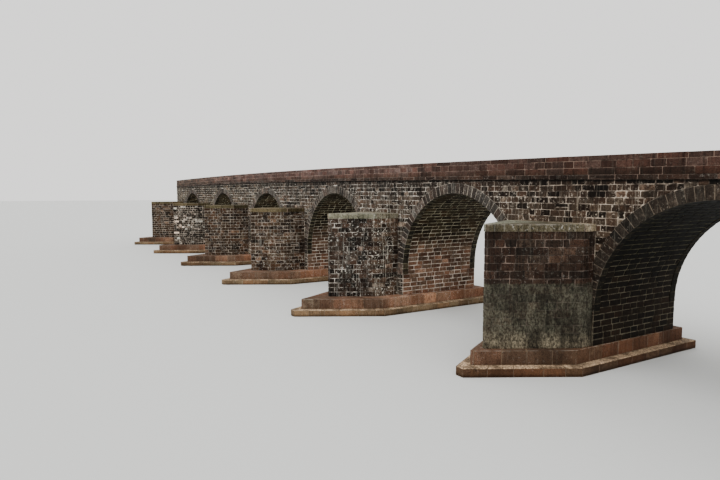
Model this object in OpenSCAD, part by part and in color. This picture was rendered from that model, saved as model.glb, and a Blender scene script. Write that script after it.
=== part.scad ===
// Multi-span masonry arch bridge, a model at one tenth of full size.
// X runs along the road, -Y is the upstream side with the cutwaters, Z is up.
// The origin is under the middle pier, on the bridge's centre line.
// Every size is in millimetres of the model, so 100 mm here are 1 m of bridge.

/* [Bays] */
// Distance between pier centres
pier_spacing = 1450; // [1300:10:1700]
// Clear span of each round arch
arch_span = 1000; // [860:10:1030]
// Width over the two outer wall faces
bridge_width = 630; // [480:10:820]

/* [Levels] */
// Height of the lower step of each footing
lower_step_h = 40; // [20:1:80]
// Height of the upper step of each footing
upper_step_h = 62; // [30:1:100]
// Height of the plain pier wall, from the footing up to the arch feet
pier_wall_h = 140; // [60:1:144]
// Highest springing of an arch above the footing
springing_max = 180; // [146:1:200]
// Height of a cutwater's wall above the footing
cutwater_h = 514; // [300:1:560]
// Level of the road line above the footing, at its crest
crest_h = 789; // [775:1:860]

/* [Road line] */
// Place of the crest along the bridge, from the middle pier
crest_x = -2020; // [-2600:10:-1400]
// Radius of the long curve that the road follows
road_radius = 271000; // [250000:1000:600000]

/* [Arches] */
// Depth of the arch ring, from its inner to its outer curve
ring_t = 55; // [35:1:60]
// Thickness of the face stones, measured into the bridge
ring_depth = 45; // [20:1:80]
// How far the face stones stand proud of the wall
ring_proud = 3; // [1:0.5:6]
// How far the vault is set back from the ring's inner curve
vault_setback = 2; // [1:0.5:6]
// Least masonry between an arch ring and the string course
crown_cover = 20; // [4:1:30]
// Mortar bed between the ring and the wall above it
bed_gap = 0.3; // [0.2:0.1:0.6]

/* [Cutwaters] */
// Half width of a cutwater where it meets the wall
cutwater_half = 165; // [120:1:168]
// Length of a cutwater's straight cheek, from the wall to the shoulder
cheek = 165; // [80:1:240]
// The pier that was refaced later, with a wider cutwater, counted from the -X end
refaced_pier = 6; // [1:1:7]
// Half width of the refaced cutwater
refaced_half = 218; // [170:1:222]
// Length of the refaced cutwater's cheek
refaced_cheek = 73; // [20:1:160]
// Half angle of the pointed nose
nose_angle = 30; // [25:1:45]
// Half width of the dressed tip
tip_half = 8; // [4:1:20]
// Thickness of the cap slab
cap_t = 31; // [15:1:50]
// Overhang of the cap slab
cap_over = 5; // [2:1:12]

/* [Footings] */
// Width of the ledge beside the pier, on the upper step
upper_ledge = 40; // [20:1:60]
// Width of the ledge of the lower step
lower_ledge = 45; // [20:1:60]
// Extra length of the footing's cheek past the cutwater's shoulder
shoulder_lead = 25; // [0:1:60]
// Half width of the footing's blunt tip
footing_tip_half = 10; // [5:1:50]
// Reach of the upper step past the downstream wall
tail_reach = 70; // [30:1:120]
// Width of the upper ledge beside the refaced pier
refaced_ledge = 8; // [5:1:60]
// Extra length of the refaced footing's cheek past the cutwater's shoulder
refaced_lead = 47; // [20:1:80]

/* [Parapets] */
// Height of the string course
string_h = 18; // [10:1:30]
// Overhang of the string course past the wall face
string_over = 6; // [2:1:12]
// Depth of the string course, from the wall face inwards
string_depth = 60; // [50:1:90]
// Height of the parapet wall on the string course
parapet_h = 84; // [50:1:120]
// Thickness of the parapet wall
parapet_t = 42; // [30:1:48]
// Thickness of the road's surface layer
road_t = 16; // [8:1:30]

/* [Hidden] */
BAYS = 6;
PIERS = BAYS + 1;

ROUND = 96;
CUT = 10;
half_w = bridge_width / 2;
arch_r = arch_span / 2;
ring_r = arch_r + ring_t;
pier_half = (pier_spacing - arch_span) / 2;
footing_top = lower_step_h + upper_step_h;
pier_top = footing_top + pier_wall_h;
end_x = BAYS * pier_spacing / 2 + pier_half;

// Places of piers and arches, counted from 1 at the -X end
function pier_x(i) = (i - (PIERS + 1) / 2) * pier_spacing;
function arch_x(i) = pier_x(i) + pier_spacing / 2;
// Level of the underside of the string course, along the long road curve
function road_z(x) = footing_top + crest_h - pow(x - crest_x, 2) / (2 * road_radius);
// The arches spring at one level, or lower where the road leaves less room
function spring_z(i) =
    footing_top + min(springing_max, road_z(arch_x(i)) - footing_top - crown_cover - ring_r);
// Stations of the road line: both ends, each pier and each crown
STATIONS = concat(
    [-end_x],
    [for (i = [1:PIERS], s = [0, 1]) if (i < PIERS || s == 0) s == 0 ? pier_x(i) : arch_x(i)],
    [end_x]
);

// The refaced pier has its own cutwater and footing
function half_of(i) = i == refaced_pier ? refaced_half : cutwater_half;
function cheek_of(i) = i == refaced_pier ? refaced_cheek : cheek;
function ledge_of(i) = i == refaced_pier ? refaced_ledge : upper_ledge;
function lead_of(i) = i == refaced_pier ? refaced_lead : shoulder_lead;

// Outline of a pointed pier plan: cheeks, shoulders and a blunt tip
module pointed_plan(half, cheek_len, tip, back) {
    reach = cheek_len + (half - tip) / tan(nose_angle);
    translate([0, -half_w])
        polygon([
            [-half, back], [-half, -cheek_len], [-tip, -reach],
            [tip, -reach], [half, -cheek_len], [half, back]
        ]);
}

// A band that follows the road line between two stations, low to high above it
module road_band(x_from, x_to, low, high) {
    xs = concat([x_from], [for (x = STATIONS) if (x > x_from && x < x_to) x], [x_to]);
    n = len(xs);
    polygon(concat(
        [for (x = xs) [x, road_z(x) + low]],
        [for (k = [n - 1:-1:0]) [xs[k], road_z(xs[k]) + high]]
    ));
}

// Stands a drawing of X and Z upright and gives it a depth along Y
module upright(y_from, y_to) {
    translate([0, y_to, 0])
        rotate([90, 0, 0])
            linear_extrude(height = y_to - y_from)
                children();
}

module footing(i) {
    step_half = pier_half + ledge_of(i);
    base_half = step_half + lower_ledge;
    step_cheek = cheek_of(i) + lead_of(i);
    color("sienna")
        translate([pier_x(i), 0, 0])
            union() {
                linear_extrude(height = lower_step_h)
                    pointed_plan(
                        base_half,
                        step_cheek + lower_ledge * tan(nose_angle / 2),
                        footing_tip_half + lower_ledge * tan(nose_angle / 2),
                        bridge_width + tail_reach + lower_ledge
                    );
                translate([0, 0, lower_step_h])
                    linear_extrude(height = upper_step_h)
                        pointed_plan(step_half, step_cheek, footing_tip_half, bridge_width + tail_reach);
            }
}

module pier(i) {
    color("rosybrown")
        translate([pier_x(i) - pier_half, -half_w, footing_top])
            cube([2 * pier_half, bridge_width, pier_wall_h]);
}

module cutwater(i) {
    color("dimgray")
        difference() {
            translate([pier_x(i), 0, footing_top])
                linear_extrude(height = cutwater_h)
                    pointed_plan(half_of(i), cheek_of(i), tip_half, 0);
            ring_room(i);
        }
}

module cutwater_caps() {
    color("tan")
        for (i = [1:PIERS])
            difference() {
                translate([pier_x(i), 0, footing_top + cutwater_h])
                    linear_extrude(height = cap_t)
                        pointed_plan(half_of(i) + cap_over, cheek_of(i), tip_half + cap_over, -bed_gap);
                ring_room(i);
            }
}

// Half ring on straight legs that stand on the piers
module arch_outline(i, r_in, r_out) {
    difference() {
        translate([arch_x(i), spring_z(i)]) {
            circle(r = r_out, $fn = ROUND);
            translate([-r_out, pier_top - spring_z(i)])
                square([2 * r_out, spring_z(i) - pier_top]);
        }
        translate([arch_x(i), spring_z(i)])
            circle(r = r_in, $fn = ROUND);
        translate([arch_x(i) - r_in, pier_top - CUT])
            square([2 * r_in, spring_z(i) - pier_top + CUT]);
        translate([arch_x(i) - 2 * r_out, pier_top - 2 * r_out])
            square([4 * r_out, 2 * r_out]);
    }
}

module vault(i) {
    color("saddlebrown")
        upright(-half_w - ring_proud + ring_depth, half_w + ring_proud - ring_depth)
            arch_outline(i, arch_r + vault_setback, ring_r);
}

module arch_rings(i) {
    color("gray") {
        upright(-half_w - ring_proud, -half_w - ring_proud + ring_depth)
            arch_outline(i, arch_r, ring_r);
        upright(half_w + ring_proud - ring_depth, half_w + ring_proud)
            arch_outline(i, arch_r, ring_r);
    }
}

// Room that an arch takes out of the wall, down to a little below its feet
module arch_room(i, below) {
    translate([arch_x(i), spring_z(i)])
        circle(r = ring_r + bed_gap, $fn = ROUND);
    translate([arch_x(i) - ring_r - bed_gap, pier_top - below])
        square([2 * (ring_r + bed_gap), spring_z(i) - pier_top + below]);
}

// Room in front of the wall for the face rings on both sides of a pier
module ring_room(i) {
    for (k = [max(i - 1, 1):min(i, BAYS)])
        upright(-half_w - ring_proud - bed_gap, -half_w + CUT)
            difference() {
                arch_room(k, bed_gap);
                translate([arch_x(k) - 2 * ring_r, pier_top - bed_gap - 2 * ring_r])
                    square([4 * ring_r, 2 * ring_r]);
            }
}

// Wall and fill over one pier, from crown to crown
module spandrel(i) {
    x_from = i == 1 ? -end_x : arch_x(i - 1);
    x_to = i == PIERS ? end_x : arch_x(i);
    color("darkgray")
        upright(-half_w, half_w)
            difference() {
                road_band(x_from, x_to, pier_top - road_z(crest_x), 0);
                translate([x_from - CUT, 0])
                    square([x_to - x_from + 2 * CUT, pier_top]);
                if (i > 1)
                    arch_room(i - 1, CUT);
                if (i < PIERS)
                    arch_room(i, CUT);
            }
}

// What lies along the road is laid bay by bay, with a thin joint over each pier
module along_the_road(y_from, y_to, low, high) {
    for (i = [1:BAYS]) {
        x_from = i == 1 ? -end_x : pier_x(i) + bed_gap / 2;
        x_to = i == BAYS ? end_x : pier_x(i + 1) - bed_gap / 2;
        upright(y_from, y_to)
            road_band(x_from, x_to, low, high);
    }
}

module roadway() {
    inner = half_w - string_depth;
    color("gainsboro")
        along_the_road(-inner, inner, 0, road_t);
}

module string_courses() {
    color("darkred")
        for (side = [0, 1])
            mirror([0, side, 0])
                along_the_road(-half_w - string_over, -half_w + string_depth, 0, string_h);
}

module parapet() {
    color("brown")
        along_the_road(-half_w, -half_w + parapet_t, string_h, string_h + parapet_h);
}

module parapet_front() {
    parapet();
}

module parapet_back() {
    mirror([0, 1, 0])
        parapet();
}

for (i = [1:PIERS]) {
    footing(i);
    pier(i);
    cutwater(i);
    spandrel(i);
}
for (i = [1:BAYS]) {
    vault(i);
    arch_rings(i);
}
cutwater_caps();
roadway();
string_courses();
parapet_front();
parapet_back();
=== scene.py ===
# %% [markdown]
# # A stone arch bridge on pointed piers
# The bridge arrives as a fixed frame of plain solids, at one tenth of full size: footings, piers,
# cutwaters, vaults, face rings, spandrels, string courses, parapets and the roadway. The solids are
# right in form and size, so here they become the mortar bed, and every stone that shows is laid on
# them as its own block. Courses, quoins and voussoirs are worked out from the frame, so the
# masonry follows the bridge whatever its size.

# %% Load the frame and keep its box
import math
from itertools import pairwise

import bmesh
import bpy
import numpy as np
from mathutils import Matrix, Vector


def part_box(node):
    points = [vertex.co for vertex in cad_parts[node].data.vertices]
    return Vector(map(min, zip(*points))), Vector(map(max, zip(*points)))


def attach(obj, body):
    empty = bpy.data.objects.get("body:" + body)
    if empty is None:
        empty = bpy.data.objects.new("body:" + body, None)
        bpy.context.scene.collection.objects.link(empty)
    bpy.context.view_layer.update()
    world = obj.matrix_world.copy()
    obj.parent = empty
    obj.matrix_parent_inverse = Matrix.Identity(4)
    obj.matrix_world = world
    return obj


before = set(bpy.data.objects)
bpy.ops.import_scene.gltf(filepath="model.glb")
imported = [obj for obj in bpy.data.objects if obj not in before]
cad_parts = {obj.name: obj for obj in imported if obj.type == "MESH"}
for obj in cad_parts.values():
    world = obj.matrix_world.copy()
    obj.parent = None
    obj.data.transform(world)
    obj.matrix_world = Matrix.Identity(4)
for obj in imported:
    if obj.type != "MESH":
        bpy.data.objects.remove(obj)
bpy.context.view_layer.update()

# %% [markdown]
# ## Reading the bridge's own sizes
# A node keeps its place in its mesh, so its corner points say where the masonry is. Lengths for
# laying stones are easier in millimetres, and turn into metres only when a block is placed.

# %% Points and boxes of a node, in millimetres
MM = 0.001


def points(node):
    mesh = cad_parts[node].data
    flat = np.empty(len(mesh.vertices) * 3)
    mesh.vertices.foreach_get("co", flat)
    return np.unique(np.round(flat.reshape(-1, 3) / MM, 2), axis=0)


def box(node):
    low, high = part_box(node)
    return np.array(low) / MM, np.array(high) / MM


# %% Piers: their axes, half thickness and levels
PIERS = len([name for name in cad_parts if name.startswith("pier_")])
BAYS = PIERS - 1
pier_boxes = [box(f"pier_{i + 1}") for i in range(PIERS)]
pier_x = [(low[0] + high[0]) / 2 for low, high in pier_boxes]
low, high = pier_boxes[0]
pier_half = (high[0] - low[0]) / 2
footing_top, pier_top, half_w = low[2], high[2], high[1]
print("pier spacing", pier_x[1] - pier_x[0], "half thickness", pier_half, "half width", half_w)

# %% Arches: centre, springing level and the two radii of the ring
arches = []
for i in range(BAYS):
    low, high = box(f"arch_rings_{i + 1}")
    outer = (high[0] - low[0]) / 2
    middle = (high[0] + low[0]) / 2
    arches.append({"x": middle, "spring": high[2] - outer, "outer": outer,
                   "inner": pier_x[i + 1] - pier_half - middle})
ring_y = sorted(set(np.abs(points("arch_rings_1")[:, 1])))
ring_back, ring_face = ring_y[0], ring_y[-1]
print("arch radii", arches[0]["inner"], arches[0]["outer"], "ring from", ring_back, "to", ring_face)

# %% The road line, read at its stations
road_points = points("roadway")
road_stations = sorted(set(road_points[:, 0]))
road_levels = [road_points[road_points[:, 0] == x][:, 2].min() for x in road_stations]


def road(x):
    return np.interp(x, road_stations, road_levels)


end_x = road_stations[-1]
print("road level at the two ends:", road_levels[0], road_levels[-1])


# %% Outline of a pointed plan, read from a node
def outline(node, level=None):
    pts = points(node)
    z = pts[:, 2].min() if level is None else level
    plan = pts[np.abs(pts[:, 2] - z) < 0.5][:, :2]
    middle = plan.mean(axis=0)
    turn = np.arctan2(plan[:, 1] - middle[1], plan[:, 0] - middle[0])
    return plan[np.argsort(turn)]


cut_boxes = [box(f"cutwater_{i + 1}") for i in range(PIERS)]
cutwater_half = [(high[0] - low[0]) / 2 for low, high in cut_boxes]
cutwater_top = cut_boxes[0][1][2]
cap_top = box("cutwater_caps")[1][2]
REFACED = int(np.argmax(cutwater_half))
print("cutwater half widths", [round(v) for v in cutwater_half])
print("cutwater top", cutwater_top, "cap top", cap_top)

# %% [markdown]
# ## The camera
# The photograph was taken from the bank, a little upstream, with a 28 mm lens and the lens almost
# level. The camera is made first, so that every later look can be judged from its place.

# %% Camera at the photograph's viewing angle, which drops 47 pixels over 560 pixels of focal length
EYE = Vector((4.683, -2.463, 0.782))
TURN = math.radians(31.1)
DROP = math.atan(47.0 / 560.0)
level_reach = math.cos(DROP)
view_line = Vector((-math.cos(TURN) * level_reach, math.sin(TURN) * level_reach, -math.sin(DROP)))


def new_object(name, data):
    thing = bpy.data.objects.new(name, data)
    bpy.context.collection.objects.link(thing)
    return thing


lens = bpy.data.cameras.new("bank_camera")
lens.lens = 28.0
lens.sensor_width = 36.0
lens.clip_end = 200.0
camera = new_object("bank_camera", lens)
camera.location = EYE
camera.rotation_euler = view_line.to_track_quat("-Z", "Y").to_euler()
bpy.context.scene.camera = camera
print("camera looks along", [round(v, 3) for v in view_line])

# %% [markdown]
# ## One block, made once
# A mason's block is a box whose corners are knocked off and whose face edges, the arrises, are
# worn round. Bevelling the corner edges and then the face edges of one cube gives it, and a poke
# adds the middle of the face, which every block raises by its own amount. Thousands of blocks are
# copies of it, so it has only a few dozen faces.

# %% Block pattern from a cube, in millimetres
BLOCK = 20.0
CHIP = 2.8
ARRIS = 1.5


def knock_off(bm, edges, offset):
    bmesh.ops.bevel(bm, geom=edges, offset=offset, offset_type="OFFSET", affect="EDGES",
                    segments=1, profile=0.5, material=-1)


def block_pattern():
    bm = bmesh.new()
    bmesh.ops.create_cube(bm, size=BLOCK)
    half = BLOCK / 2
    knock_off(bm, [e for e in bm.edges if abs(e.verts[0].co.z - e.verts[1].co.z) > half], CHIP)
    knock_off(bm, [e for e in bm.edges if all(v.co.z > half - 0.01 for v in e.verts)], ARRIS)
    bm.faces.ensure_lookup_table()
    face = max(bm.faces, key=lambda f: f.calc_center_median().z)
    bmesh.ops.poke(bm, faces=[face], offset=0.0)
    bm.verts.index_update()
    spots = np.array([v.co[:] for v in bm.verts])
    faces = [[v.index for v in f.verts] for f in bm.faces]
    bm.free()
    return spots, faces


pattern, pattern_faces = block_pattern()
print("block pattern:", len(pattern), "points,", len(pattern_faces), "faces")

# %% [markdown]
# ## Laying blocks
# A course is a list of four-cornered blocks drawn on the wall, s along it and t up it. Each point
# of the pattern keeps its distance from its own corner, so a long block and a short one have the
# same worn edges. A place function then bends the drawing onto the wall, the vault or the nose of
# a cutwater, with h as the height over the mortar bed, and gives x, y and z. Every block carries
# its own tone, and its edges are marked, for the stone materials to read.

# %% Parts of the pattern that the layer reads
on_left = pattern[:, 0] < 0
corner_of = np.where(pattern[:, 1] < 0, np.where(on_left, 0, 1), np.where(on_left, 3, 2))
inset = BLOCK / 2 - np.abs(pattern[:, :2])
is_middle = np.all(np.abs(pattern[:, :2]) < 0.01, axis=1)
is_back = pattern[:, 2] < 0
is_rim = (~is_back) & (pattern[:, 2] < BLOCK / 2 - 0.01)
ALONG = [1, 0, 3, 2]
UP = [3, 2, 1, 0]


def unit(v):
    return v / np.maximum(np.linalg.norm(v, axis=-1, keepdims=True), 1e-9)


# %% The layer itself: half of a closed joint, range of wear, an edge's largest share of a side
CLOSE = 0.02
WEAR = (0.6, 1.35)
EDGE_SHARE = 0.3
WORN, HIDDEN = 1.0, -6.0
stone_count = {}


def lay(name, blocks, place, material, seed, joint=2.0, bed=3.0, proud=1.4, uneven=0.5,
        wander=0.5, tight=(0, 0, 0, 0), family=None, pillow=0.35, rough=1.0):
    """Lays blocks (N, 4, 2) through place(s, t, h) as one joined piece.

    joint is the gap between blocks, bed and proud are how deep and how high they sit, uneven and
    wander how far they vary, and pillow how far a face swells. tight closes the sides that it
    marks (low, right, high, left), family gives several blocks one tone, and rough=0 lays one flat.
    """
    dice = np.random.default_rng(seed)
    c = np.array(blocks, dtype=float)
    count = len(c)
    sides = np.where(np.array(tight, dtype=bool), CLOSE, joint / 2) * np.ones((count, 1))
    u = unit(c[:, ALONG] - c)
    v = unit(c[:, UP] - c)
    along_gap = sides[:, [3, 1, 1, 3]]
    up_gap = sides[:, [0, 0, 2, 2]]
    c = c + u * along_gap[..., None] + v * up_gap[..., None]
    free = along_gap > 2 * CLOSE
    c = c + dice.uniform(-wander, wander, c.shape) * free[..., None]
    size_u = np.linalg.norm(c[:, ALONG] - c, axis=2)
    size_v = np.linalg.norm(c[:, UP] - c, axis=2)
    wear = dice.uniform(*WEAR, (count, 1))
    step_u = np.minimum(inset[:, 0] * wear, size_u[:, corner_of] * EDGE_SHARE)
    step_v = np.minimum(inset[:, 1] * wear, size_v[:, corner_of] * EDGE_SHARE)
    steps = u[:, corner_of] * step_u[..., None], v[:, corner_of] * step_v[..., None]
    flat = c[:, corner_of] + steps[0] + steps[1]
    flat[:, is_middle] = c.mean(axis=1)[:, None]
    each = np.arange(count) if family is None else np.array(family)
    lift = dice.normal(0.0, uneven, (each.max() + 1, 1)).clip(-2 * uneven, 1.6 * uneven)[each]
    rough = np.reshape(rough, (-1, 1))
    lift = lift * rough + np.reshape(proud, (-1, 1))
    tilt = (dice.normal(0.0, uneven * 0.4, (count, 4)) * free * rough)[:, corner_of]
    h = np.repeat(lift, len(pattern), axis=1) + tilt
    h[:, is_middle] += (pillow + np.abs(dice.normal(0.0, uneven * 0.5, (count, 1)))) * rough
    h[:, is_rim] -= ARRIS * np.minimum(wear, 1.0)
    h[:, is_back] = -bed
    spots = np.stack(place(flat[..., 0], flat[..., 1], h), axis=-1)
    mesh = stamp(name, spots, faces_outward(place, c))
    shade(mesh, "tone", np.repeat(dice.random(each.max() + 1)[each], len(pattern)))
    shade(mesh, "worn", np.tile(np.where(is_rim, WORN, np.where(is_back, HIDDEN, 0.0)), count))
    piece = new_object(name, mesh)
    mesh.materials.append(material)
    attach(piece, "root")
    stone_count[name] = count
    print(f"{name}: {count} blocks, {sum(len(p.vertices) - 2 for p in mesh.polygons)} triangles")


# %% Helpers of the layer: facing, stamping and marking
def faces_outward(place, c):
    """True where s, t and h make a right-handed set, so the pattern's faces already point out."""
    s, t = c[0].mean(axis=0)
    steps = np.vstack([np.zeros(3), np.eye(3) / 2])
    here, ds, dt, dh = np.stack(place(s + steps[:, 0], t + steps[:, 1], steps[:, 2]), axis=-1)
    return np.dot(np.cross(ds - here, dt - here), dh - here) > 0


def stamp(name, spots, outward):
    count, size = spots.shape[:2]
    faces = [f if outward else f[::-1] for f in pattern_faces]
    joined = [[v + k * size for v in f] for k in range(count) for f in faces]
    mesh = bpy.data.meshes.new(name)
    mesh.from_pydata((spots.reshape(-1, 3) * MM).tolist(), [], joined)
    mesh.update()
    return mesh


def shade(mesh, name, values):
    layer = mesh.attributes.new(name, "FLOAT", "POINT")
    layer.data.foreach_set("value", values.astype(np.float32))


# %% Joints along a course, at a mason's uneven lengths, and split blocks
STUMP = 0.6
LONG, TALL, THIN = 62, 22, 28
UPRIGHT = 0.6
SPLIT = (0.38, 0.62)


def cuts(start, stop, low, high, dice):
    marks = [start]
    while stop - marks[-1] > high:
        marks.append(marks[-1] + dice.uniform(low, high))
    if len(marks) > 1 and stop - marks[-1] < low * STUMP:
        marks.pop()
    return marks + [stop]


def broken(blocks, dice, share):
    """Splits a share of the long and tall blocks, always upright if thin, as in rubble work."""
    pieces = []
    for block in np.array(blocks, dtype=float):
        long = block[1][0] - block[0][0]
        tall = min(block[3][1] - block[0][1], block[2][1] - block[1][1])
        if dice.random() > share or long < LONG or tall < TALL:
            pieces.append(block)
            continue
        k = dice.uniform(*SPLIT)
        if tall < THIN or dice.random() < UPRIGHT:
            low, high = block[0] + (block[1] - block[0]) * k, block[3] + (block[2] - block[3]) * k
            pieces += [[block[0], low, high, block[3]], [low, block[1], block[2], high]]
        else:
            left, right = block[0] + (block[3] - block[0]) * k, block[1] + (block[2] - block[1]) * k
            pieces += [[block[0], block[1], right, left], [left, right, block[2], block[3]]]
    return pieces


# %% Plain blocks, courses of them and their bed joints
def quad(a, b, low, high):
    return [(a, low), (b, low), (b, high), (a, high)]


def course(marks, low, high):
    return [quad(a, b, low, high) for a, b in pairwise(marks)]


def stacked(start, stop, rise):
    """Level bed joints that share the height evenly."""
    return np.linspace(start, stop, max(1, round((stop - start) / rise)) + 1)


# %% [markdown]
# ## Stone finishes
# All the stones come from the same red-brown sandstone, so one node group makes the weathered face
# and each material gives it its own colours and amounts. Inside, the block's own tone picks a
# colour, noise mottles it, lichen pales it in patches, rain draws upright streaks, and mortar
# smears over the worn edges. The group puts out only a colour, a roughness and a height.

# %% Small helpers for node trees
def new_group(name, colors, values, results=""):
    """A node group that makes a colour, and other results, of a place, colours and values."""
    group = bpy.data.node_groups.new(name, "ShaderNodeTree")
    for way, kind, labels in (("INPUT", "Vector", "Where"), ("INPUT", "Color", colors),
                              ("INPUT", "Float", values), ("OUTPUT", "Color", "Color"),
                              ("OUTPUT", "Float", results)):
        for label in labels.split():
            group.interface.new_socket(name=label, in_out=way, socket_type=f"NodeSocket{kind}")
    return group, group.nodes.new("NodeGroupInput").outputs, group.nodes.new("NodeGroupOutput")


def feed(tree, node, values):
    """Links another node's output to a socket, or sets a plain value on it."""
    for key, value in values.items():
        if isinstance(value, bpy.types.NodeSocket):
            tree.links.new(value, node.inputs[key])
        else:
            node.inputs[key].default_value = value


def add(tree, kind, values=None, **settings):
    """Adds a node with its settings and what its sockets take, and returns its outputs."""
    node = tree.nodes.new(f"ShaderNode{kind}")
    for key, value in settings.items():
        setattr(node, key, value)
    feed(tree, node, values or {})
    return node.outputs


def math_node(tree, operation, *values):
    return add(tree, "Math", dict(enumerate(values)), operation=operation)[0]


def times(tree, a, b):
    return math_node(tree, "MULTIPLY", a, b)


def scaled(tree, value, by, plus=0.0):
    return math_node(tree, "MULTIPLY_ADD", value, by, plus)


def mixed(tree, amount, a, b, blend="MIX"):
    return add(tree, "Mix", {0: amount, 6: a, 7: b}, data_type="RGBA", blend_type=blend)[2]


def tinted(tree, color, tint, amount=1.0):
    return mixed(tree, amount, color, tint, "MULTIPLY")


def noise(tree, where, scale, detail, rough=0.55):
    """Noise of one scale, or of three scales along the axes."""
    if isinstance(scale, tuple):
        where, scale = add(tree, "Mapping", {"Scale": scale, "Vector": where})[0], 1.0
    return add(tree, "TexNoise", {"Scale": scale, "Detail": detail, "Roughness": rough,
                                  "Vector": where})["Fac"]


def band(tree, value, low, high):
    """A smooth mask that goes from 0 at low to 1 at high."""
    return add(tree, "MapRange", {"From Min": low, "From Max": high, "Value": value},
               interpolation_type="SMOOTHSTEP")["Result"]


def noise_band(tree, where, scale, detail, rough, low, high):
    return band(tree, noise(tree, where, scale, detail, rough), low, high)


# %% The weathered face, shared by every stone
def weathered_face():
    tree, come, leave = new_group(
        "weathered_face", "Dark Middle Pale", "Tone Worn Share Lichen Streaks Lime Smear Pits",
        "Roughness Height")
    where = come["Where"]
    broad = noise(tree, where, 5.0, 3.0)
    patch = noise(tree, where, 38.0, 4.0)
    grain = noise(tree, where, 230.0, 5.0, 0.65)
    streak = noise(tree, where, (60.0, 60.0, 5.0), 4.0, 0.6)
    run = noise(tree, where, (110.0, 110.0, 4.0), 3.0, 0.6)
    tone = math_node(tree, "ADD", come["Tone"], scaled(tree, patch, 0.8, -0.4))
    color = mixed(tree, band(tree, tone, 0.05, 0.7), come["Dark"], come["Middle"])
    pale = band(tree, math_node(tree, "ADD", tone, come["Share"]), 0.86, 1.12)
    color = mixed(tree, pale, color, come["Pale"])
    bed = math_node(tree, "FRACT", scaled(tree, come["Tone"], 7.3))
    color = tinted(tree, color, mixed(tree, bed, (1.13, 0.96, 0.9, 1), (0.9, 1.00, 1.05, 1)))
    color = tinted(tree, color, scaled(tree, band(tree, grain, 0.3, 0.7), 0.9, 0.55))
    color = tinted(tree, color, scaled(tree, band(tree, broad, 0.35, 0.65), 0.6, 0.7))
    dark_streak = times(tree, band(tree, streak, 0.48, 0.68), come["Streaks"])
    color = tinted(tree, color, (0.3, 0.29, 0.27, 1), dark_streak)
    pale_run = times(tree, band(tree, run, 0.56, 0.72), come["Lime"])
    color = mixed(tree, pale_run, color, (0.43, 0.42, 0.37, 1))
    pits = times(tree, noise_band(tree, where, 115.0, 4.0, 0.65, 0.47, 0.37), come["Pits"])
    color = tinted(tree, color, (0.22, 0.21, 0.2, 1), pits)
    spots = noise_band(tree, where, 75.0, 6.0, 0.7, 0.57, 0.66)
    spots = times(tree, spots, band(tree, broad, 0.38, 0.56))
    color = mixed(tree, times(tree, spots, come["Lichen"]), color, (0.64, 0.61, 0.55, 1))
    edge = times(tree, band(tree, come["Worn"], 0.0, 1.0), band(tree, patch, 0.38, 0.6))
    color = mixed(tree, times(tree, edge, come["Smear"]), color, (0.45, 0.415, 0.36, 1))
    height = math_node(tree, "ADD", scaled(tree, patch, 0.7), scaled(tree, grain, 0.45))
    roughness = scaled(tree, grain, 0.25, 0.7)
    feed(tree, leave, {"Color": color, "Roughness": roughness, "Height": height})
    return tree


FACE = weathered_face()
print("node group", FACE.name, "has", len(FACE.nodes), "nodes")


# %% Stain and painted shading between two levels, for damp footings, tide lines, vaults darker towards the crown, drips, painted shade and painted light
def level_stain_and_shading():
    tree, come, leave = new_group("level_stain_and_shading", "Color Stain",
                                  "Level Clean Stained Ragged Amount Film")
    where = come["Where"]
    ragged = noise(tree, where, (45.0, 45.0, 8.0), 4.0, 0.6)
    ragged = times(tree, scaled(tree, ragged, 1.0, -0.5), come["Ragged"])
    height = math_node(tree, "ADD", come["Level"], ragged)
    way = math_node(tree, "DIVIDE", math_node(tree, "SUBTRACT", height, come["Clean"]),
                    math_node(tree, "SUBTRACT", come["Stained"], come["Clean"]))
    mask = times(tree, band(tree, way, 0.0, 1.0), come["Amount"])
    wash = tinted(tree, come["Color"], come["Stain"], mask)
    blotch = noise(tree, where, (15.0, 15.0, 7.0), 6.0, 0.66)
    speck = noise(tree, where, (120.0, 120.0, 70.0), 5.0, 0.75)
    film = tinted(tree, come["Stain"], scaled(tree, band(tree, blotch, 0.4, 0.6), 1.2, 0.5))
    film = tinted(tree, film, scaled(tree, band(tree, speck, 0.38, 0.66), 1.8, 0.28))
    film = mixed(tree, mask, come["Color"], film)
    feed(tree, leave, {"Color": mixed(tree, come["Film"], wash, film)})
    return tree


STAIN_AND_SHADING = level_stain_and_shading()
print("node group", STAIN_AND_SHADING.name, "has", len(STAIN_AND_SHADING.nodes), "nodes")


# %% What a stain's level is measured along, and stain and shading layers laid over a colour
def under_road(tree, x, z):
    """Depth under the road line, whose long curve is fitted to the frame's stations."""
    a, b, c = map(float, np.polyfit(np.array(road_stations) * MM, np.array(road_levels) * MM, 2))
    line = scaled(tree, times(tree, scaled(tree, x, a, b), x), 1.0, c)
    return math_node(tree, "SUBTRACT", line, z)


def stained_and_shaded(tree, where, color, stains_and_shading):
    """Lays stain and painted shading layers over a colour, each from its clean level to its full
    level.
    """
    x, y, z = add(tree, "SeparateXYZ", {0: where})
    for along, clean, full, ragged, tint, amount, *film in stains_and_shading:
        level = {"X": x, "Y": y, "Z": z}.get(along)
        if along == "under road":
            level = under_road(tree, x, z)
        elif along == "across":
            level = math_node(tree, "ABSOLUTE", y)
        values = {"Where": where, "Level": level, "Color": color, "Clean": clean, "Stained": full,
                  "Ragged": ragged, "Stain": (*tint, 1), "Amount": amount, "Film": float(len(film))}
        color = add(tree, "Group", values, node_tree=STAIN_AND_SHADING)["Color"]
    return color


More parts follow.
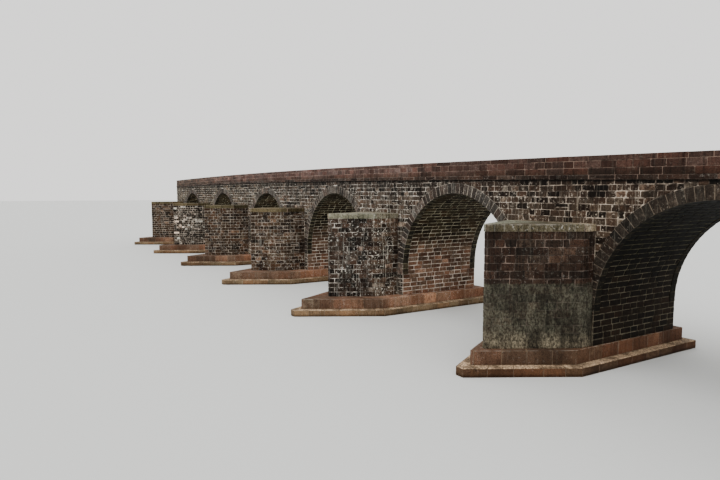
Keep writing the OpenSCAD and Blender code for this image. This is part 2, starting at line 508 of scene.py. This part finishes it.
# %% The shell of a rough masonry material
def masonry(name, gloss, bump, depth, stains_and_shading, surface):
    """Takes its colour, roughness and height from surface(tree, where)."""
    material = bpy.data.materials.new(name)
    material.use_nodes = True
    tree = material.node_tree
    tree.nodes.clear()
    where = add(tree, "TexCoord")["Object"]
    color, roughness, height = surface(tree, where)
    relief = add(tree, "Bump", {"Strength": bump, "Distance": depth, "Height": height})[0]
    skin = add(tree, "BsdfPrincipled", {
        "Base Color": stained_and_shaded(tree, where, color, stains_and_shading), "Roughness": roughness,
        "Specular IOR Level": gloss, "Normal": relief})[0]
    add(tree, "OutputMaterial", {"Surface": skin})
    return material


# %% A stone material from the two groups
def stone(name, dark, middle, pale, bump=0.5, stains_and_shading=(), **amounts):
    """A stone of three colours, with the face group's amounts by their names in lower case."""
    def surface(tree, where):
        values = {"Where": where, "Dark": (*dark, 1), "Middle": (*middle, 1), "Pale": (*pale, 1)}
        for mark in ("tone", "worn"):
            values[mark.title()] = add(tree, "Attribute", attribute_name=mark)["Fac"]
        for label, amount in {"share": 0.0, "pits": 0.5, **amounts}.items():
            values[label.title()] = amount
        return add(tree, "Group", values, node_tree=FACE)

    return masonry(name, 0.1, bump, 0.0012, stains_and_shading, surface)


# %% [markdown]
# ## Stains, painted shading and finishes
# Vaults darker at the crown, silt, damp and drips cross many stones, and so do painted shade and
# light, so all are laid over the colours by level. Each layer follows an axis, the distance from
# the middle plane ("across") or the depth under the road line, in metres. Its mask grows from a
# clean level to a full one with a ragged edge, and its tint multiplies the colour. A film covers
# the colour instead.

# %% Where stains and painted shading lie: along what, clean level, full level, raggedness
LAST_VAULT = ("X", 2.72, 2.95, 0.0)
LAST_RINGS = ("X", 2.2, 3.1, 0.2)
NEAR_END = ("X", -1.0, 3.6, 0.9)
FLOOD = ("Z", 0.394, 0.384, 0.02)
RING_FACE = ring_face * MM
# INSIDE is everything behind the rings' face: their soffits and the sides of the voussoirs.
INSIDE = ("across", RING_FACE - 0.0003, RING_FACE - 0.0016, 0.0)

# %% Stains and painted shading: where they lie, their tint and their amount
FILM = True
# Vaults turn darker and greener towards the crown, on their stones and on their joints.
CROWN_DARKENING = ("Z", 0.315, 0.53, 0.16, (0.14, 0.18, 0.105), 0.93)
CROWN_DARKENING_JOINTS = ("Z", 0.36, 0.6, 0.16, (0.4, 0.44, 0.31), 0.75)
# A thin dark line under the string courses: painted shadow of their overhang, with dirt.
STRING_SHADOW_AND_DIRT = ("under road", 0.016, 0.007, 0.012, (0.14, 0.12, 0.11), 0.95)
DRIPS = ("under road", 0.1, 0.0, 0.26, (0.42, 0.4, 0.38), 0.75)
DARK_END = ("X", 1.2, 3.2, 0.9, (0.68, 0.61, 0.555), 1.0)
FAR_END = ("X", -1.0, -4.0, 0.9, (0.72, 0.84, 0.76), 1.0)
FAR_WALL = ("X", 0.6, -2.4, 0.9, (0.92, 0.91, 0.83), 1.0)
# Painted shade on the soffits of the rings and on the sides of the voussoirs behind their face.
PAINTED_SHADE_INSIDE_RING = (*INSIDE, (0.36, 0.37, 0.29), 1.0)
FOOT = ("under road", -0.052, -0.03, 0.03, (0.58, 0.6, 0.52), 0.75)
WASHED = ("under road", 0.05, 0.16, 0.34, (1.5, 1.48, 1.4), 0.9)
SHADED = (*LAST_VAULT, (0.085, 0.085, 0.065), 1.0)
SHADED_JOINTS = (*LAST_VAULT, (0.17, 0.17, 0.14), 1.0)
TIDE = (*FLOOD, (0.0415, 0.0405, 0.0285), 0.68, FILM)
DAMP_JOINTS = (*FLOOD, (0.039, 0.0375, 0.0265), 0.7, FILM)
SILT = ("Z", 0.2, 0.105, 0.03, (0.11, 0.09, 0.06), 0.68, FILM)
DRIED = ("Z", 0.0365, 0.039, 0.002, (0.29, 0.205, 0.128), 0.72, FILM)
WET = ("Z", 0.02, 0.004, 0.012, (0.3, 0.27, 0.22), 0.9)

# %% One finish for each family of stones: dark, middle and pale colour, then the amounts
rubble = stone(
    "rubble_stone", (0.009, 0.006, 0.0042), (0.0515, 0.037, 0.0275), (0.23, 0.19, 0.15),
    lichen=0.85, streaks=0.5, lime=0.4, smear=0.42,
    stains_and_shading=(DARK_END, FAR_WALL, WASHED, DRIPS, STRING_SHADOW_AND_DIRT))
vault_stone = stone(
    "vault_stone", (0.05, 0.027, 0.0165), (0.13, 0.072, 0.045), (0.26, 0.165, 0.11),
    lichen=0.15, streaks=0.3, lime=0.25, smear=0.8, stains_and_shading=(CROWN_DARKENING, SHADED))
ring_stone = stone(
    "ring_stone", (0.023, 0.0185, 0.0155), (0.06, 0.048, 0.039), (0.2, 0.165, 0.135),
    lichen=0.65, streaks=0.5, lime=0.3, smear=0.65,
    stains_and_shading=((*LAST_RINGS, (0.36, 0.34, 0.31), 1.0), STRING_SHADOW_AND_DIRT, PAINTED_SHADE_INSIDE_RING))
parapet_stone = stone(
    "parapet_stone", (0.06, 0.034, 0.0275), (0.115, 0.065, 0.054), (0.215, 0.138, 0.117),
    lichen=0.15, streaks=0.7, lime=0.1, smear=0.25, pits=0.3,
    stains_and_shading=(("X", 0.0, 3.6, 0.9, (0.43, 0.39, 0.345), 1.0), FAR_END, FOOT))
string_stone = stone(
    "string_stone", (0.02, 0.0122, 0.0092), (0.05, 0.032, 0.024), (0.13, 0.09, 0.07),
    lichen=0.35, streaks=0.5, lime=0.15, smear=0.5, stains_and_shading=((*NEAR_END, (0.54, 0.51, 0.48), 1.0),))
footing_stone = stone(
    "footing_stone", (0.084, 0.047, 0.029), (0.122, 0.069, 0.043), (0.2, 0.13, 0.082),
    lichen=0.2, streaks=0.4, lime=0.12, smear=0.55, pits=0.35, bump=0.35,
    stains_and_shading=(("Y", -0.52, -0.38, 0.06, (2.0, 1.9, 1.8), 1.0),
            ("Y", 0.1, 0.32, 0.06, (0.55, 0.56, 0.58), 1.0),
            ("X", 2.8, 3.1, 0.1, (0.6, 0.57, 0.54), 1.0)))
silty_stone = stone(
    "footing_base_stone", (0.11, 0.07, 0.037), (0.172, 0.111, 0.06), (0.28, 0.19, 0.112),
    lichen=0.15, streaks=0.35, lime=0.1, smear=0.9, pits=0.35, bump=0.35,
    stains_and_shading=(("X", 2.05, 2.2, 0.0, (0.47, 0.37, 0.35), 1.0), DRIED, WET))
cap_stone = stone(
    "cap_stone", (0.085, 0.072, 0.043), (0.185, 0.163, 0.108), (0.29, 0.265, 0.19),
    lichen=0.6, streaks=0.9, lime=0.3, smear=0.5, pits=1.0,
    stains_and_shading=(("X", 1.15, 0.25, 0.3, (0.52, 0.48, 0.38), 1.0),))

# %% The cutwaters are not alike, so each has its own finish, and the limed one has painted light on its cheek
LIMED, WHITE = PIERS - 3, PIERS - 6
refaced_x, limed_x = pier_x[REFACED] * MM, pier_x[LIMED] * MM
pale_tip = (pier_x[WHITE] + cutwater_half[WHITE] * 0.42) * MM
dark_cheek = ("X", refaced_x - 0.12, refaced_x + 0.16, 0.08, (0.6, 0.6, 0.58), 1.0)
# Painted light: the limed cutwater's cheek beside the wall, which lies in shade, is brightened.
painted_light_cheek = ("X", limed_x + 0.135, limed_x + 0.16, 0.0, (1.95, 1.93, 1.83), 1.0)
near_nose = stone(
    "cutwater_stone_near", (0.028, 0.0168, 0.012), (0.056, 0.0335, 0.0235), (0.112, 0.075, 0.053),
    lichen=0.25, streaks=0.9, lime=0.08, smear=0.3, pits=0.8, stains_and_shading=(dark_cheek, TIDE, SILT))
purple_nose = stone(
    "cutwater_stone_purple", (0.0062, 0.0038, 0.0026), (0.037, 0.0235, 0.016), (0.18, 0.136, 0.106),
    lichen=0.9, streaks=0.6, lime=0.45, smear=0.38, pits=0.8, stains_and_shading=(painted_light_cheek,))
brown_nose = stone(
    "cutwater_stone_brown", (0.012, 0.0064, 0.0036), (0.0535, 0.0305, 0.0168), (0.16, 0.11, 0.072),
    lichen=0.7, streaks=0.5, lime=0.35, smear=0.35, pits=0.9)
white_nose = stone(
    "cutwater_stone_white", (0.003, 0.0018, 0.0011), (0.0165, 0.0104, 0.0066), (0.58, 0.52, 0.44),
    share=0.09, lichen=0.4, streaks=0.6, lime=0.3, smear=0.3, pits=1.0,
    stains_and_shading=(("X", pale_tip + 0.015, pale_tip - 0.01, 0.03, (1.8, 1.75, 1.7), 0.8),))
NOSES = {REFACED: near_nose, LIMED: purple_nose, WHITE: white_nose}
print("stone finishes:", len([m for m in bpy.data.materials if "stone" in m.name]))


# %% [markdown]
# ## Mortar and road
# Between the stones the frame's own solids show as mortar, pale where it was pointed and dark
# where it has weathered. The road's surface is plain, worn and dusty.

# %% Mortar for the frame's solids
def mortar(name, dark, pale, scale=16.0, cover=0.48, stains_and_shading=()):
    def surface(tree, where):
        grit = noise(tree, where, 420.0, 4.0, 0.6)
        patch = noise_band(tree, where, scale, 5.0, 0.75, cover - 0.1, cover + 0.1)
        color = mixed(tree, patch, (*dark, 1), (*pale, 1))
        color = tinted(tree, color, scaled(tree, grit, 0.7, 0.65))
        return color, scaled(tree, grit, 0.15, 0.8), grit

    return masonry(name, 0.15, 0.4, 0.0006, stains_and_shading, surface)


pale_mortar = mortar("pale_mortar", (0.03, 0.022, 0.016), (0.7, 0.64, 0.56), cover=0.5,
                     stains_and_shading=(DARK_END, DRIPS, STRING_SHADOW_AND_DIRT))
vault_mortar = mortar("vault_mortar", (0.13, 0.092, 0.068), (0.74, 0.64, 0.53),
                      stains_and_shading=(CROWN_DARKENING_JOINTS, SHADED_JOINTS))
nose_mortar = mortar("nose_mortar", (0.022, 0.015, 0.01), (0.46, 0.39, 0.315))
limed_mortar = mortar("limed_mortar", (0.02, 0.014, 0.01), (0.74, 0.67, 0.58), scale=12.0,
                      cover=0.57)
ring_mortar = mortar("ring_mortar", (0.04, 0.032, 0.024), (0.42, 0.36, 0.29),
                     stains_and_shading=((*LAST_RINGS, (0.3, 0.27, 0.24), 1.0), STRING_SHADOW_AND_DIRT, PAINTED_SHADE_INSIDE_RING))
near_mortar = mortar("near_mortar", (0.02, 0.013, 0.0095), (0.2, 0.145, 0.115), cover=0.54,
                     stains_and_shading=(DAMP_JOINTS, SILT))
brown_mortar = mortar("brown_mortar", (0.036, 0.024, 0.017), (0.32, 0.225, 0.18),
                      stains_and_shading=((*NEAR_END, (0.6, 0.57, 0.54), 1.0),))
bed_stone = mortar("footing_bed", (0.06, 0.038, 0.022), (0.15, 0.1, 0.06))
road_dust = mortar("road_surface", (0.11, 0.105, 0.095), (0.21, 0.2, 0.18), scale=4.0)

# %% Give each node of the frame its finish
NODE_FINISH = {"footing": bed_stone, "pier": vault_mortar, "cutwater": nose_mortar,
               "vault": vault_mortar, "arch": ring_mortar, "spandrel": pale_mortar,
               "roadway": road_dust, "string": brown_mortar, "parapet": brown_mortar,
               f"cutwater_{REFACED + 1}": near_mortar, f"cutwater_{LIMED + 1}": limed_mortar,
               "cutwater_caps": brown_mortar}
for name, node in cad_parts.items():
    node.data.materials.clear()
    node.data.materials.append(NODE_FINISH.get(name) or NODE_FINISH[name.split("_")[0]])
print("finished", len(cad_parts), "nodes of the frame")

# %% [markdown]
# ## Wall stones
# The spandrels are squared rubble: level courses of uneven height, cut to the curve of each ring
# and to the slope of the road. Where the ring is steep a course simply ends on a slanted block.
# Near the crown the ring is almost level, so there the blocks stand on it, and their undersides
# follow the curve.

# %% Where an arch stops a course
JOINT = 2.4


def chord(arch, away):
    """Half chord of the ring's back, with its bed, at a distance from the centre."""
    return math.sqrt(max((arch["outer"] + JOINT / 2) ** 2 - away ** 2, 0.0))


def half_chord(arch, z):
    """Half width that an arch takes from the wall at a level."""
    return arch["inner"] if z < pier_top else chord(arch, max(z - arch["spring"], 0.0))


def over_ring(arch, x):
    """Level of the ring's back over a place on the road."""
    return arch["spring"] + chord(arch, x - arch["x"])


# %% Over a low crown one row of blocks fills the height between the ring and the road
COVER = 31.0
reaches = np.arange(0.0, 250.0, 2.0)
for arch in arches:
    cover = np.array([road(arch["x"] + d) - over_ring(arch, arch["x"] + d) for d in reaches])
    arch["reach"] = float(reaches[cover < COVER].max(initial=0.0))
    arch["shelf"] = over_ring(arch, arch["x"] + arch["reach"])
print("half width of each crown row:", [arch["reach"] for arch in arches])

# %% One course of wall: least height of a stone, largest slant, shortest run, share on a ring
LEAST = 7.0
STEEP = 26.0
SHORTEST_RUN = 4.0
ON_RING = 0.65


def wall_course(low, high, short, long, dice, parted):
    blocks = []
    left_low = left_high = -end_x
    for pier, half, arch in zip(pier_x, cutwater_half, arches + [None]):
        if arch is None:
            right_low = right_high = end_x
        else:
            levels = low + 0.01, high - 0.01, high - LEAST
            wide, narrow, room = (half_chord(arch, z) for z in levels)
            if arch["reach"] and high > arch["shelf"]:
                wide, narrow, room = (max(v, arch["reach"]) for v in (wide, narrow, room))
            slanted = wide - narrow < STEEP
            upper = narrow if slanted else wide
            right_low, right_high = arch["x"] - wide, arch["x"] - upper
        start, stop = max(left_low, left_high), min(right_low, right_high)
        runs = [(start, stop)]
        if parted:
            runs = [(start, pier - half - 1.0), (pier + half + 1.0, stop)]
        for run in runs:
            if run[1] - run[0] < SHORTEST_RUN:
                continue
            for a, b in pairwise(cuts(*run, short, long, dice)):
                first, last = a == start, b == stop
                blocks.append([
                    (left_low if first else a, low), (right_low if last else b, low),
                    (right_high if last else b, high), (left_high if first else a, high)])
        if arch is None:
            break
        left_low, left_high = arch["x"] + wide, arch["x"] + upper
        if not slanted:
            steps = max(1, round((wide - room) / (ON_RING * long)))
            for side in (-1, 1):
                marks = sorted(arch["x"] + side * d for d in np.linspace(room, wide, steps + 1))
                blocks += [[(a, max(low, over_ring(arch, a))), (b, max(low, over_ring(arch, b))),
                            (b, high), (a, high)] for a, b in pairwise(marks)]
    return blocks


# %% Trim a course to the slope of the road
def under_string(x):
    return x, road(x) - 0.5


def trimmed(blocks):
    kept = []
    for block in blocks:
        level = road((block[0][0] + block[1][0]) / 2)
        if level - block[0][1] < LEAST + 2:
            continue
        if level - block[2][1] < LEAST + 2:
            block = [block[0], block[1], under_string(block[2][0]), under_string(block[3][0])]
        kept.append(block)
    return kept


# %% The whole wall, course by course: heights, lengths, share that is split and slack
WALL_RISE = (25.0, 33.0)
WALL_STONE = (32.0, 84.0)
CROWN_STONE = (30.0, 62.0)
WALL_SPLIT = 0.22
PIER_SLACK, CAP_SLACK, MARGIN = 12, 14, 4


def wall_blocks(seed, parted):
    """Blocks of a long wall, which is parted where cutwaters stand before it."""
    dice = np.random.default_rng(seed)
    blocks = []
    low = footing_top
    while low < max(road_levels) - LEAST:
        high = low + dice.uniform(*WALL_RISE)
        if low < pier_top < high + PIER_SLACK:
            high = pier_top
        if parted and low < cutwater_top < high and cutwater_top - low > CAP_SLACK:
            high = cutwater_top
        beside = parted and low < cutwater_top - MARGIN
        blocks += trimmed(wall_course(low, high, *WALL_STONE, dice, beside))
        low = high
    blocks = broken(blocks, dice, WALL_SPLIT)
    for arch in arches:
        if arch["reach"]:
            marks = cuts(arch["x"] - arch["reach"], arch["x"] + arch["reach"], *CROWN_STONE, dice)
            blocks += [[(a, over_ring(arch, a)), (b, over_ring(arch, b)),
                        under_string(b), under_string(a)] for a, b in pairwise(marks)]
    return blocks


# %% Lay the two long walls
FACES = ((-1, "front"), (1, "back"))


def on_wall(side):
    return lambda s, t, h: (s, side * (half_w + h), t)


for (side, name), seed in zip(FACES, (11, 21)):
    lay(f"wall_stones_{name}", wall_blocks(seed, side < 0), on_wall(side), rubble,
        seed + 1, joint=JOINT, wander=1.0)


# %% Lay the two end walls, where the row of bays stops
END_RISE, END_STONE = 29.0, (38.0, 80.0)


def on_end(side):
    return lambda s, t, h: (side * (end_x + h), s, t)


for side, name in ((-1, "left"), (1, "right")):
    dice = np.random.default_rng(30 + side)
    blocks = []
    for low, high in pairwise(stacked(footing_top, float(road(side * end_x)), END_RISE)):
        blocks += course(cuts(-half_w - 1, half_w + 1, *END_STONE, dice), low, high)
    lay(f"wall_stones_{name}_end", blocks, on_end(side), rubble, 33 + side, joint=JOINT)

# %% [markdown]
# ## Vaults
# Inside an arch the courses run up one pier wall, over the vault and down the other. The drawing's
# s runs along that path and t runs through the bridge, and the place function wraps it round the
# half circle.


# %% Path of an arch's inside
def on_vault(arch):
    rise = arch["spring"] - footing_top
    turn = math.pi * arch["inner"]

    def place(s, t, h):
        angle = np.clip((s - rise) / arch["inner"], 0.0, math.pi)
        reach = arch["inner"] - h
        x = arch["x"] - reach * np.cos(angle)
        z = arch["spring"] + reach * np.sin(angle)
        z = z - np.maximum(rise - s, 0.0) - np.maximum(s - rise - turn, 0.0)
        return x, t, z

    return place, rise, turn


# %% Lay the vaults: proud of the pier walls, and a little sunk between the face rings
VAULT_RISE, VAULT_STONE = 28.0, (42.0, 92.0)
ON_PIER, BETWEEN_RINGS = (half_w + 0.6, 1.3), (ring_back - 0.5, -0.6)
wall = pier_top - footing_top
for i, arch in enumerate(arches):
    place, rise, turn = on_vault(arch)
    dice = np.random.default_rng(100 + i)
    far_wall = 2 * rise + turn - wall
    steps = stacked(0.0, wall, VAULT_RISE)
    levels = [*steps, *stacked(wall, far_wall, VAULT_RISE)[1:], *(far_wall + v for v in steps[1:])]
    blocks, heights = [], []
    for low, high in pairwise(levels):
        in_pier = high <= wall + 0.1 or low >= far_wall - 0.1
        reach, height = ON_PIER if in_pier else BETWEEN_RINGS
        row = [quad(low, high, a, b) for a, b in pairwise(cuts(-reach, reach, *VAULT_STONE, dice))]
        blocks += row
        heights += [height] * len(row)
    lay(f"vault_stones_{i + 1}", blocks, place, vault_stone, 110 + i,
        joint=3.0, bed=4.0, proud=heights, uneven=0.4, wander=0.7)

# %% [markdown]
# ## Face rings
# A voussoir is a wedge, and its joints point at the arch's centre. With t as the radius and s as
# the length along the ring, an even division of s gives wedges by itself. Below the springing the
# same blocks stand on straight legs.


# %% Ring of an arch on one face
def on_ring(arch, side):
    middle = (arch["inner"] + arch["outer"]) / 2
    turn = math.pi * middle

    def place(s, t, h):
        angle = np.clip(s / middle, 0.0, math.pi)
        x = arch["x"] - t * np.cos(angle)
        z = arch["spring"] + t * np.sin(angle) + np.minimum(s, 0.0) - np.maximum(s - turn, 0.0)
        return x, side * (ring_face + h), z

    return place, turn


# %% Lay the voussoirs, which lie flat and bare where the refaced cutwater covers them
VOUSSOIRS = 47
SHORT_LEG, LEG_RISE = 12, 30.0
for i, arch in enumerate(arches):
    for side, name in FACES:
        place, turn = on_ring(arch, side)
        leg = arch["spring"] - pier_top
        marks = list(np.linspace(0.0, turn, VOUSSOIRS + 1))
        if leg > SHORT_LEG:
            legs = stacked(0.0, leg, LEG_RISE)
            marks = [-v for v in legs[:0:-1]] + marks + [turn + v for v in legs[1:]]
        else:
            marks[0], marks[-1] = -leg, turn + leg
        blocks = course(marks, arch["inner"] - 1.0, arch["outer"] + 1.0)
        middles = np.mean(blocks, axis=1)
        x, _, z = place(middles[:, 0], middles[:, 1], 0.0)
        beside = np.abs(x - pier_x[REFACED]) < cutwater_half[REFACED] + MARGIN
        covered = beside & (z < cutwater_top) & (side < 0)
        lay(f"voussoirs_{i + 1}_{name}", blocks, place, ring_stone, 200 + 2 * i + side,
            joint=2.0, bed=ring_face - ring_back - 0.5, proud=np.where(covered, 0.15, 1.2),
            uneven=0.4, wander=0.3, tight=(1, 0, 1, 0), pillow=0.2, rough=1.0 - covered)

# %% [markdown]
# ## Cutwaters
# A cutwater's wall turns at the shoulders and at the tip. The outline is offset outwards for each
# height over the bed, so blocks meet on a mitre there. Quoins reach round each corner, long and
# short in turn, with one tone on both sides of it.


# %% A wall that follows an outline, with mitred corners
def mitres(corners, closed):
    """How far each corner moves outwards for every millimetre over the bed."""
    before = np.roll(corners, 1, axis=0)
    after = np.roll(corners, -1, axis=0)
    if not closed:
        before[0] = 2 * corners[0] - corners[1]
        after[-1] = 2 * corners[-1] - corners[-2]
    first = unit(corners - before)
    second = unit(after - corners)
    n1 = np.stack([first[:, 1], -first[:, 0]], axis=1)
    n2 = np.stack([second[:, 1], -second[:, 0]], axis=1)
    return (n1 + n2) / (1 + np.sum(n1 * n2, axis=1, keepdims=True))


def on_outline(corners, closed):
    """Place function for a wall round an outline that runs with the outside on its right."""
    mitre = mitres(corners, closed)
    if closed:
        corners = np.vstack([corners, corners[:1]])
        mitre = np.vstack([mitre, mitre[:1]])
    lengths = np.linalg.norm(np.diff(corners, axis=0), axis=1)
    starts = np.concatenate([[0.0], np.cumsum(lengths)])

    def place(s, t, h):
        k = np.clip(np.searchsorted(starts, s, side="right") - 1, 0, len(lengths) - 1)
        u = ((s - starts[k]) / lengths[k])[..., None]
        a = corners[k] + mitre[k] * h[..., None]
        b = corners[k + 1] + mitre[k + 1] * h[..., None]
        plan = a + (b - a) * u
        return plan[..., 0], plan[..., 1], t

    return place, starts


# %% Outline of a cutwater
def cutwater_outline(i):
    """Wall, shoulder, tip, tip, shoulder, wall, in the order in which -X comes first."""
    def rank(corner):
        beyond = corner[0] > pier_x[i]
        return beyond, corner[1] if beyond else -corner[1]

    return np.array(sorted(outline(f"cutwater_{i + 1}"), key=rank))


# %% Lay the cutwaters: course height, shortest and longest block, joint, share that is split
PLAIN = (29.5, 38.0, 84.0, 2.3, 0.4)
FACING = {REFACED: (34.0, 38.0, 84.0, 1.8, 0.0), LIMED: (29.5, 38.0, 84.0, 2.3, 0.12),
          WHITE: (25.0, 20.0, 42.0, 3.0, 0.4)}
QUOIN = (62.0, 34.0)
for i in range(PIERS):
    rise, shortest, longest, gap, share = FACING.get(i, PLAIN)
    place, starts = on_outline(cutwater_outline(i), False)
    wall_1, shoulder_1, tip_1, tip_2, shoulder_2, wall_2 = starts
    dice = np.random.default_rng(300 + i)
    laid, tag = [], 0
    for row, (low, high) in enumerate(pairwise(stacked(footing_top, cutwater_top, rise))):
        long, short = QUOIN if row % 2 else QUOIN[::-1]
        quoins = [(shoulder_1 - short, shoulder_1, shoulder_1 + long),
                  (tip_1 - long, tip_1, tip_2, tip_2 + short),
                  (shoulder_2 - long, shoulder_2, shoulder_2 + short)]
        ends = [wall_1, *(quoin[k] for quoin in quoins for k in (0, -1)), wall_2]
        for run in zip(ends[::2], ends[1::2]):
            row_blocks = course(cuts(*run, shortest, longest, dice), low, high)
            for block in broken(row_blocks, dice, share):
                laid.append((block, (0, 0, 0, 0), tag))
                tag += 1
        for quoin in quoins:
            for k, (a, b) in enumerate(pairwise(quoin)):
                laid.append((quad(a, b, low, high), (0, k < len(quoin) - 2, 0, k > 0), tag))
            tag += 1
    blocks, tight, family = zip(*laid)
    lay(f"cutwater_stones_{i + 1}", blocks, place, NOSES.get(i, brown_nose), 310 + i,
        joint=gap, proud=1.3, uneven=0.4, wander=0.9, tight=tight, family=family)

# %% [markdown]
# ## Cap slabs
# Each cutwater is closed by a thin slab in four stones, two over the cheeks and two over the nose.

# %% Lay the caps: how far the slabs reach past the node's edge, shoulder and tip
PAST_EDGE, PAST_SHOULDER, PAST_TIP = 2.2, 0.6, 1.3
cap_pts = points("cutwater_caps")
cap_blocks = []
for x in pier_x:
    own = cap_pts[np.abs(cap_pts[:, 0] - x) < 1.5 * pier_half]
    edge, front, back = own[:, 0].max() - x, own[:, 1].min(), -half_w - 0.5
    half, tip_y = edge + PAST_EDGE, front - PAST_EDGE
    shoulder = own[np.abs(np.abs(own[:, 0] - x) - edge) < 0.1][:, 1].min() - PAST_SHOULDER
    tip = own[np.abs(own[:, 1] - front) < 0.1][:, 0].max() - x + PAST_TIP
    cap_blocks += [
        quad(x - half, x, shoulder, back),
        quad(x, x + half, shoulder, back),
        [(x - tip, tip_y), (x, tip_y), (x, shoulder), (x - half, shoulder)],
        [(x, tip_y), (x + tip, tip_y), (x + half, shoulder), (x, shoulder)],
    ]


def on_top(level):
    return lambda s, t, h: (s, t, level + h)


lay("cap_slabs", cap_blocks, on_top(cap_top), cap_stone, 41, joint=1.6,
    bed=cap_top - cutwater_top - 0.3, proud=1.0, uneven=0.5, wander=0.6, pillow=0.6)

# %% [markdown]
# ## Footings
# The two steps of a footing are long dressed blocks with clean arrises. Each block goes in from
# the face, so its top shows on the ledge.

# %% Lay the footing steps
DEPTH = (44.0, 40.0)
FOOTING_STONE = (80.0, 135.0)
footing_levels = sorted(set(np.round(points("footing_1")[:, 2], 1)))
for i in range(PIERS):
    for step, (low, high) in enumerate(pairwise(footing_levels)):
        name, finish = (("lower", silty_stone), ("upper", footing_stone))[step]
        place, starts = on_outline(outline(f"footing_{i + 1}", high if step else low), True)
        dice = np.random.default_rng(400 + 10 * i + step)
        blocks = []
        for run in pairwise(starts):
            blocks += course(cuts(*run, *FOOTING_STONE, dice), low + 0.2, high + 1.0)
        lay(f"footing_{name}_blocks_{i + 1}", blocks, place, finish, 420 + 10 * i + step,
            joint=1.2, bed=DEPTH[step], proud=1.0, uneven=0.3, wander=0.25, pillow=0.15)


# %% Slabs on the wide ledges round each cutwater and behind each pier
def strip(start, stop, count):
    """Splits the ground between two crossing lines into four-cornered slabs."""
    start, stop = np.array(start, dtype=float), np.array(stop, dtype=float)
    lines = [start + (stop - start) * k / count for k in range(count + 1)]
    return [[a[0], a[1], b[1], b[0]] for a, b in pairwise(lines)]


def one_side(corners, x, side):
    """Corners on one side of a pier's axis, from the tip backwards."""
    own = corners[np.sign(corners[:, 0] - x) == side]
    return own[np.argsort(own[:, 1])]


def facing_up(slab):
    q = np.array(slab)
    area = np.sum(q[:, 0] * np.roll(q[:, 1], -1) - q[:, 1] * np.roll(q[:, 0], -1))
    return q if area > 0 else q[::-1]


slabs = []
for i, x in enumerate(pier_x):
    plan = outline(f"footing_{i + 1}", footing_top)
    rim = plan - mitres(plan, True) * (DEPTH[1] + 0.4)
    for side in (-1, 1):
        tip, shoulder = one_side(rim, x, side)[:2]
        cut_tip, cut_shoulder, cut_back = one_side(cutwater_outline(i), x, side)
        if side * (shoulder[0] - cut_shoulder[0]) < LEAST:
            continue
        slabs += strip([cut_back, (shoulder[0], cut_back[1])], [cut_shoulder, shoulder], 2)
        slabs += strip([cut_shoulder, shoulder], [(x, cut_tip[1]), (x, tip[1])], 4)
    left, right, back = x - pier_half, x + pier_half, rim[:, 1].max()
    slabs += strip([(left, half_w), (left, back)], [(right, half_w), (right, back)], 4)


lay("ledge_slabs", [facing_up(slab) for slab in slabs], on_top(footing_top), footing_stone,
    43, joint=1.2, bed=5.0, proud=0.5, uneven=0.2, wander=0.25, pillow=0.1)

# %% [markdown]
# ## String courses and parapets
# Both follow the slope of the road, so t counts from the road line. The parapet is three courses
# of ashlar whose blocks go right through the wall: long stones at the foot, shorter ones in the
# middle, and a lower row of long ones as its plain top.


# %% Walls that ride on the road line
def on_road(side, face):
    return lambda s, t, h: (s, side * (face + h), road(s) + t)


string_face = box("string_courses")[1][1]
string_back = np.abs(points("string_courses")[:, 1]).min()
parapet_inside = box("parapet_back")[0][1]


def rise_over_road(node):
    ends = points(node)
    return ends[ends[:, 0] == end_x][:, 2].max() - road(end_x)


string_rise, parapet_rise = rise_over_road("string_courses"), rise_over_road("parapet_back")
print("string rise", string_rise, "parapet top over the road line", parapet_rise)

# %% Lay the string courses and the parapets in three beds, with their shares of the height
STRING_STONE = (85.0, 130.0)
BEDS = np.array([0.0, 0.36, 0.73, 1.0])
BED_STONES = ((88.0, 135.0), (44.0, 80.0), (88.0, 135.0))
past_end = end_x + 0.8
for side, name in FACES:
    dice = np.random.default_rng(500 + side)
    blocks = course(cuts(-past_end, past_end, *STRING_STONE, dice), -0.3, string_rise + 0.5)
    lay(f"string_blocks_{name}", blocks, on_road(side, string_face), string_stone,
        510 + side, joint=1.4, bed=string_face - string_back + 0.6, proud=0.9, uneven=0.3,
        wander=0.25, tight=(1, 0, 1, 0), pillow=0.15)
    beds = string_rise + 0.4 + BEDS * (parapet_rise - string_rise + 0.6)
    blocks, tight = [], []
    for (low, high), lengths in zip(pairwise(beds), BED_STONES):
        row = course(cuts(-past_end, past_end, *lengths, dice), low, high)
        blocks += row
        tight += [(0, 0, high == beds[-1], 0)] * len(row)
    lay(f"parapet_blocks_{name}", blocks, on_road(side, half_w), parapet_stone,
        520 + side, joint=1.3, bed=half_w - parapet_inside + 1.0, proud=1.0, uneven=0.3, wander=0.3,
        tight=tight, pillow=0.25)

print("blocks in all:", sum(stone_count.values()))

# %% [markdown]
# ## Studio
# A plain pale floor, a pale even sky of soft light and one wide soft lamp from above and in front,
# as under the photograph's overcast.

# %% Floor, sky and lamp
FLOOR = 60.0
bm = bmesh.new()
bmesh.ops.create_grid(bm, x_segments=1, y_segments=1, size=FLOOR)
floor_mesh = bpy.data.meshes.new("floor")
bm.to_mesh(floor_mesh)
bm.free()
floor = new_object("floor", floor_mesh)
floor_paint = bpy.data.materials.new("floor_paint")
floor_paint.use_nodes = True
feed(floor_paint.node_tree, floor_paint.node_tree.nodes["Principled BSDF"],
     {"Base Color": (0.60, 0.61, 0.60, 1), "Roughness": 0.9})
floor_mesh.materials.append(floor_paint)

world = bpy.data.worlds.new("overcast")
world.use_nodes = True
feed(world.node_tree, world.node_tree.nodes["Background"],
     {"Color": (0.93, 0.92, 0.90, 1), "Strength": 1.6})
bpy.context.scene.world = world

lamp = bpy.data.lights.new("soft_lamp", "SUN")
lamp.energy = 1.6
lamp.angle = math.radians(60.0)
lamp_line = Vector((-0.25, 0.55, -1.0))
new_object("soft_lamp", lamp).rotation_euler = lamp_line.to_track_quat("-Z", "Y").to_euler()
print("studio: floor", 2 * FLOOR, "m wide, lamp of strength", lamp.energy)
